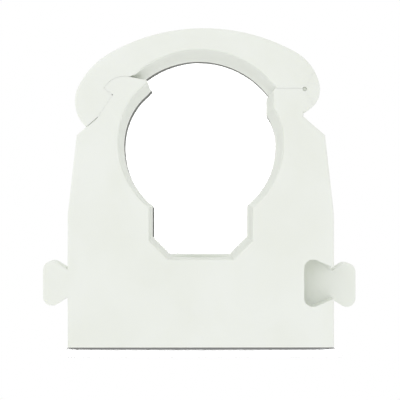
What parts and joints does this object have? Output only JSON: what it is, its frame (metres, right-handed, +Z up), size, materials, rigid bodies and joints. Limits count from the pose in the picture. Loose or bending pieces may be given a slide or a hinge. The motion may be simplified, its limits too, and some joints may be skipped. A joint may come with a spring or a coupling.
{
  "type": "pipe clip",
  "caption": "Moulded pipe clip: a saddle on a screw base, closed by a strap that swings on a living hinge and snaps over a hook, with dovetail side keys that join clips in a row.",
  "frame": {"origin": "centre of the base's underside, under the screw hole", "axes": "+Z up from the wall face through the screw hole, +X towards the hinge, +Y along the pipe from the front face to the back"},
  "size_m": [0.0298, 0.014, 0.0301],
  "materials": {
    "white_polypropylene": "satin"
  },
  "bodies": {
    "clip": {"clip_body": "white_polypropylene", "hinge_web": "white_polypropylene"},
    "strap": {"strap": "white_polypropylene"}
  },
  "joints": [
    {"name": "strap_hinge", "type": "hinge", "parent": "clip", "child": "strap", "pos_m": [0.0106, 0, 0.02434], "axis": [0, 1, 0], "range_deg": [0, 120], "deforming": ["hinge_web"]}
  ]
}
